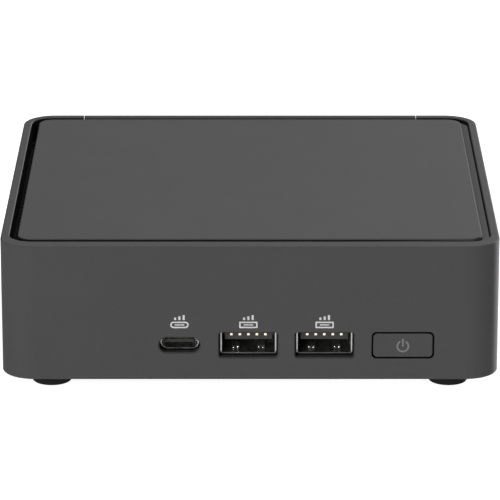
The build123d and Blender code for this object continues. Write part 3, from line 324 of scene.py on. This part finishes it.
def top_crest(at, normal):
    return at.z > SHELL_HIGH.z - CREST and 0.15 < normal.z < 0.97


# Painted shade on the port floors, port walls, opening bevels and the groove; painted highlight on the top
# crest.
refinish("outer_shell", (LIP_PAINTED_SHADE, port_floor), (SHADE, port_wall), (LIP_PAINTED_SHADE, port_bevel), (SHADE, groove),
         (EDGE_PAINTED_HIGHLIGHT, top_crest))
# Painted shade on the button's sides.
refinish("power_button", (SHADE, lambda at, normal: abs(normal.y) < 0.5))
# Painted shade on the lid's left side and right crest, painted highlight on its top crest, painted light on
# its sunk ledge.
refinish("top_panel", (SHADE, lambda at, normal: abs(normal.z) < 0.3 and at.x < 0), (CREST_PAINTED_SHADE, right_crest),
         (EDGE_PAINTED_HIGHLIGHT, top_crest), (LEDGE_PAINTED_LIGHT, sunk_ledge))
# Painted shade over the whole intake strip.
refinish("intake_strip", (SHADE, lambda at, normal: normal.z > -0.5))

CAN_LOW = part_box("front_usb_a_shells")[0]
OVAL_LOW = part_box("usb_c_shells")[0]
OVAL_Z = (KEY_LOW.z + KEY_HIGH.z) / 2


def can_floor_edge(at, normal):
    return normal.y < -0.5 and at.z < CAN_LOW.z + 0.35 * MM


def oval_flat_edge(at, normal):
    return normal.y < -0.5 and abs(at.z - OVAL_Z) > 1.2 * MM and at.y < OVAL_LOW.y + 0.1 * MM


# Painted shade on the front edges of the port shells' floors and flat sides.
refinish("front_usb_a_shells", (STEEL_PAINTED_SHADE, can_floor_edge))
refinish("usb_c_shells", (STEEL_PAINTED_SHADE, oval_flat_edge))


# ---------------------------------------------------------------- printed marks
def put(name, mesh, material, body):
    """A new piece in the row frame that rides on a body."""
    piece = bpy.data.objects.new(name, mesh)
    bpy.context.scene.collection.objects.link(piece)
    mesh.materials.append(material)
    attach(piece, body)
    return piece


INK_THICKNESS = 0.03 * MM
MOUNTS = {mount["name"]: mount["pos_m"] for mount in frame["record"]["mounts"]}


def rounded_loop(cx, cz, width, height, r, steps=6):
    """Corner-rounded rectangle in the front plane, as (x, z) points in millimetres."""
    points = []
    for i, (sx, sz) in enumerate(((1, 1), (-1, 1), (-1, -1), (1, -1))):
        for k in range(steps + 1):
            a = pi / 2 * (i + k / steps)
            points.append((cx + sx * (width / 2 - r) + r * cos(a), cz + sz * (height / 2 - r) + r * sin(a)))
    return points


def add_prism(bm, outer, face_y, inner=None):
    """Closed print-thin prism on the front face, with a hole if an inner loop is given."""
    y_out, y_in = face_y - INK_THICKNESS, face_y + 0.2 * INK_THICKNESS
    rings = []
    for loop in (outer, inner) if inner else (outer,):
        for y in (y_out, y_in):
            rings.append([bm.verts.new((x * MM, y, z * MM)) for x, z in loop])
    count = len(outer)
    if inner:
        front, back, hole_front, hole_back = rings
        for i in range(count):
            j = (i + 1) % count
            bm.faces.new((front[i], front[j], back[j], back[i]))
            bm.faces.new((hole_front[j], hole_front[i], hole_back[i], hole_back[j]))
            bm.faces.new((front[j], front[i], hole_front[i], hole_front[j]))
            bm.faces.new((back[i], back[j], hole_back[j], hole_back[i]))
    else:
        front, back = rings
        bm.faces.new(front)
        bm.faces.new(list(reversed(back)))
        for i in range(count):
            j = (i + 1) % count
            bm.faces.new((front[j], front[i], back[i], back[j]))


def mesh_from(bm, name):
    bmesh.ops.recalc_face_normals(bm, faces=bm.faces)
    mesh = bpy.data.meshes.new(name)
    bm.to_mesh(mesh)
    bm.free()
    return mesh


BASE_Z = SHELL_LOW.z / MM
FRONT_Y = SHELL_LOW.y
INK = moulded("label_ink", (0.35, 0.35, 0.35), 0.6, 0.2, grain=5200.0, depth=3e-6)
STROKE = 0.34                        # millimetres, like the other sizes of the marks
BARS_FOOT, PLUG_LINE = 14.75, 13.55  # heights above the case's underside
BAR_PITCH, BAR_WIDTH, BAR_FIRST, BAR_STEP = 1.0, 0.5, 0.62, 0.3
PLUG_WIDTH, PLUG_HEIGHT = 4.3, 1.6
OVAL_RADIUS, FLAT_RADIUS, LEAST_RADIUS = 0.78, 0.2, 0.06
TONGUE_WIDTH, TONGUE_HEIGHT, SMALL_RADIUS = 2.3, 0.26, 0.1


def port_mark(name, mount, oval):
    """Generic mark over a port: three rising bars above an outline of the plug."""
    centre_x = MOUNTS[mount][0] / MM
    bm = bmesh.new()
    foot, plug = BASE_Z + BARS_FOOT, BASE_Z + PLUG_LINE
    for i in range(3):
        height = BAR_FIRST + BAR_STEP * i
        bar_x = centre_x + (i - 1) * BAR_PITCH
        add_prism(bm, rounded_loop(bar_x, foot + height / 2, BAR_WIDTH, height, SMALL_RADIUS), FRONT_Y)
    r = OVAL_RADIUS if oval else FLAT_RADIUS
    outline = rounded_loop(centre_x, plug, PLUG_WIDTH, PLUG_HEIGHT, r)
    hole = rounded_loop(centre_x, plug, PLUG_WIDTH - 2 * STROKE, PLUG_HEIGHT - 2 * STROKE,
                        max(r - STROKE, LEAST_RADIUS))
    add_prism(bm, outline, FRONT_Y, hole)
    add_prism(bm, rounded_loop(centre_x, plug, TONGUE_WIDTH, TONGUE_HEIGHT, SMALL_RADIUS), FRONT_Y)
    put(name, mesh_from(bm, name), INK, "chassis")


port_mark("mark_oval_port", "front_port_oval", True)
port_mark("mark_flat_port_left", "front_port_flat_left", False)
port_mark("mark_flat_port_right", "front_port_flat_right", False)


# ---------------------------------------------------------------- spring dimples of the flat ports
def add_dome(bm, at, radius, rings=4, steps=14):
    """Pressed dimple: a dome that faces the mouth, closed behind."""
    loops = []
    for k in range(rings):
        a = pi / 2 * k / rings
        r, out = radius * cos(a), radius * DOME_HEIGHT * sin(a)
        loops.append([bm.verts.new((at.x + r * cos(2 * pi * i / steps), at.y - out,
                                    at.z + r * sin(2 * pi * i / steps))) for i in range(steps)])
    tip = bm.verts.new((at.x, at.y - radius * DOME_HEIGHT, at.z))
    for low, high in zip(loops, loops[1:]):
        for i in range(steps):
            j = (i + 1) % steps
            bm.faces.new((low[i], low[j], high[j], high[i]))
    for i in range(steps):
        bm.faces.new((loops[-1][i], loops[-1][(i + 1) % steps], tip))
    bm.faces.new(list(reversed(loops[0])))


DIMPLE = turned_metal("dimple_steel", (0.97, 0.97, 0.96), 0.12)
SPRING_Y, SPRING_Z = CAN_LOW.y + 2.4 * MM, CAN_LOW.z + 0.72 * MM
SPRING_X, DIMPLE_X, DIMPLE_R = 3.0, 0.5, 0.17       # millimetres
DOME_HEIGHT = 0.7                    # as a share of the dome's radius


def spring_dimples(name, mount):
    """Two bright dimples on the ramp of each of a flat port's two contact springs."""
    bm = bmesh.new()
    for spring in (-SPRING_X, SPRING_X):
        for side in (-DIMPLE_X, DIMPLE_X):
            x = MOUNTS[mount][0] + (spring + side) * MM
            add_dome(bm, Vector((x, SPRING_Y, SPRING_Z)), DIMPLE_R * MM)
    put(name, mesh_from(bm, name), DIMPLE, "chassis")


spring_dimples("dimples_flat_port_left", "front_port_flat_left")
spring_dimples("dimples_flat_port_right", "front_port_flat_right")


# ---------------------------------------------------------------- fine electronics
def add_box(bm, low, high, material_index=0):
    """Closed box with its faces in one material slot."""
    corners = [bm.verts.new((x, y, z)) for x in (low[0], high[0]) for y in (low[1], high[1])
               for z in (low[2], high[2])]
    for quad in ((0, 1, 3, 2), (4, 6, 7, 5), (0, 4, 5, 1), (2, 3, 7, 6), (0, 2, 6, 4), (1, 5, 7, 3)):
        bm.faces.new([corners[i] for i in quad]).material_index = material_index


def oval_contacts():
    """Twelve fine contacts along the top of the front oval port's tongue."""
    low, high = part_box("usb_c_tongues")
    x0, pitch = MOUNTS["front_port_oval"][0] - 2.75 * MM, 0.5 * MM
    bm = bmesh.new()
    for i in range(12):
        x = x0 + i * pitch
        add_box(bm, (x - 0.12 * MM, low.y + 0.15 * MM, high.z - 0.01 * MM),
                (x + 0.12 * MM, low.y + 4.0 * MM, high.z + 0.03 * MM))
    mesh = mesh_from(bm, "oval_port_contacts")
    put("oval_port_contacts", mesh, FINISHES["contact_gold"], "chassis")


def tree_of(node):
    part = NODES[node]
    verts = [part.matrix_world @ v.co for v in part.data.vertices]
    return BVHTree.FromPolygons(verts, [tuple(p.vertices) for p in part.data.polygons])


PASSIVES, TRIES_EACH, SEED = 260, 12, 11
SPACING, CLEARANCE = 2.2 * MM, 1.6 * MM
LENGTHS = (0.5, 0.8, 0.8, 1.25)      # millimetres
CAP_INNER = 0.6                      # inner end of a solder cap, as a share of the half length


def board_passives():
    """Small two-ended components on the free areas of the mainboard's underside."""
    board = tree_of("mainboard")
    low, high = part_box("mainboard")
    chassis_nodes = frame["record"]["behaviour"]["bodies"]["chassis"]
    others = [tree_of(node) for node in chassis_nodes if node != "mainboard"]
    pick = Random(SEED)
    bm = bmesh.new()
    placed = []
    for _ in range(PASSIVES * TRIES_EACH):
        at = Vector((pick.uniform(low.x, high.x), pick.uniform(low.y, high.y), low.z - 0.3 * MM))
        long = pick.choice(LENGTHS) * MM
        turned = pick.random() < 0.5
        up = board.ray_cast(at, Vector((0, 0, 1)), 0.5 * MM)
        if up[0] is None or any((at - p).length < SPACING for p in placed):
            continue
        if any(tree.find_nearest(at, CLEARANCE)[0] is not None for tree in others):
            continue
        half = Vector((long, long * 0.5, 0)) if not turned else Vector((long * 0.5, long, 0))
        height = long * 0.55
        z0, z1 = low.z - height, low.z + 0.02 * MM
        along = 1 if turned else 0
        for side, index, inset in ((-1, 1, 0.0), (1, 1, 0.0), (0, 0, 0.03 * MM)):
            lo, hi = at - half, at + half
            if side:
                lo[along] = at[along] + (CAP_INNER * half[along] if side > 0 else -half[along])
                hi[along] = at[along] + (half[along] if side > 0 else -CAP_INNER * half[along])
            else:
                lo[along] = at[along] - CAP_INNER * half[along]
                hi[along] = at[along] + CAP_INNER * half[along]
            add_box(bm, (lo.x, lo.y, z0 + inset), (hi.x, hi.y, z1), index)
        placed.append(at)
        if len(placed) == PASSIVES:
            break
    piece = put("board_passives", mesh_from(bm, "board_passives"), CERAMIC, "chassis")
    piece.data.materials.append(SOLDER)


CERAMIC = epoxy("ceramic_tan", (0.10, 0.075, 0.05))
SOLDER = turned_metal("solder_caps", (0.62, 0.62, 0.6), 0.34)
PAPER = moulded("label_paper", (0.42, 0.42, 0.41), 0.6, 0.2, grain=5200.0, depth=3e-6)
PRINT = moulded("label_print", (0.035, 0.035, 0.036), 0.6, 0.2, grain=5200.0, depth=2e-6)


def drive_label():
    """Plain label under the drive's chips: blocks and bars, with nothing written."""
    low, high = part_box("ssd_chips")
    x0, x1, y0, y1 = low.x + 2 * MM, high.x - 2 * MM, low.y + 0.5 * MM, high.y - 0.5 * MM
    z0, z1 = low.z - 0.05 * MM, low.z + 0.01 * MM
    bm = bmesh.new()
    add_box(bm, (x0, y0, z0), (x1, y1, z1))
    for i, width in enumerate((11.0, 8.0, 13.0)):
        y = y0 + (3.0 + 3.6 * i) * MM
        add_box(bm, (x0 + 3 * MM, y, z0 - 0.01 * MM), (x0 + (3 + width) * MM, y + 1.1 * MM, z1), 1)
    x = x0 + 26 * MM
    for i in range(14):
        width = (0.5, 0.9, 0.35)[i % 3] * MM
        add_box(bm, (x, y0 + 3 * MM, z0 - 0.01 * MM), (x + width, y1 - 3 * MM, z1), 1)
        x += width + (0.5, 0.8)[i % 2] * MM
    piece = put("drive_label", mesh_from(bm, "drive_label"), PAPER, "chassis")
    piece.data.materials.append(PRINT)


oval_contacts()
board_passives()
drive_label()

# ---------------------------------------------------------------- studio
FLOOR_GLOW = 0.92                    # emission that keeps the ground white in the picture
FLOOR_HALF = 3.0
WORLD_LIGHT = 0.06


def floor_material():
    s = Shader("floor", (0.25, 0.25, 0.25), 0.9, specular=0.05)
    s.colour_by(s.mixed(s.ranged(s.noise(9.0), 0.3, 0.7), (0.24, 0.24, 0.24), (0.26, 0.26, 0.26)))
    s.bsdf.inputs["Emission Color"].default_value = (1, 1, 1, 1)
    s.bsdf.inputs["Emission Strength"].default_value = FLOOR_GLOW
    return s.material


FLOOR_Z = cad_low.z - 0.05 * MM
floor_mesh = bpy.data.meshes.new("floor")
SQUARE = ((-1, -1), (1, -1), (1, 1), (-1, 1))
floor_corners = [(sx * FLOOR_HALF, sy * FLOOR_HALF, FLOOR_Z) for sx, sy in SQUARE]
floor_mesh.from_pydata(floor_corners, [], [(0, 1, 2, 3)])
floor = bpy.data.objects.new("floor", floor_mesh)
bpy.context.scene.collection.objects.link(floor)
floor_mesh.materials.append(floor_material())


def softbox(name, at, toward, size, power):
    """Rectangular lamp that faces a point."""
    lamp = bpy.data.objects.new(name, bpy.data.lights.new(name, "AREA"))
    lamp.data.shape = "RECTANGLE"
    lamp.data.size, lamp.data.size_y = size
    lamp.data.energy = power
    lamp.location = at
    lamp.rotation_euler = (Vector(at) - Vector(toward)).to_track_quat("Z", "Y").to_euler()
    bpy.context.scene.collection.objects.link(lamp)


MIDDLE = (0, 0, 0.02)
softbox("top_box", (0.12, 0.25, 1.3), MIDDLE, (1.2, 1.2), 23.8)
softbox("front_box", (-0.6, -1.38, 0.52), MIDDLE, (0.6, 0.6), 25.5)
softbox("rim_box", (0.90, 1.07, 0.14), MIDDLE, (0.3, 0.12), 60.0)

world = bpy.data.worlds.new("studio")
world.use_nodes = True
world.node_tree.nodes["Background"].inputs["Color"].default_value = (1, 1, 1, 1)
world.node_tree.nodes["Background"].inputs["Strength"].default_value = WORLD_LIGHT
bpy.context.scene.world = world
bpy.context.scene.view_settings.view_transform = "Standard"
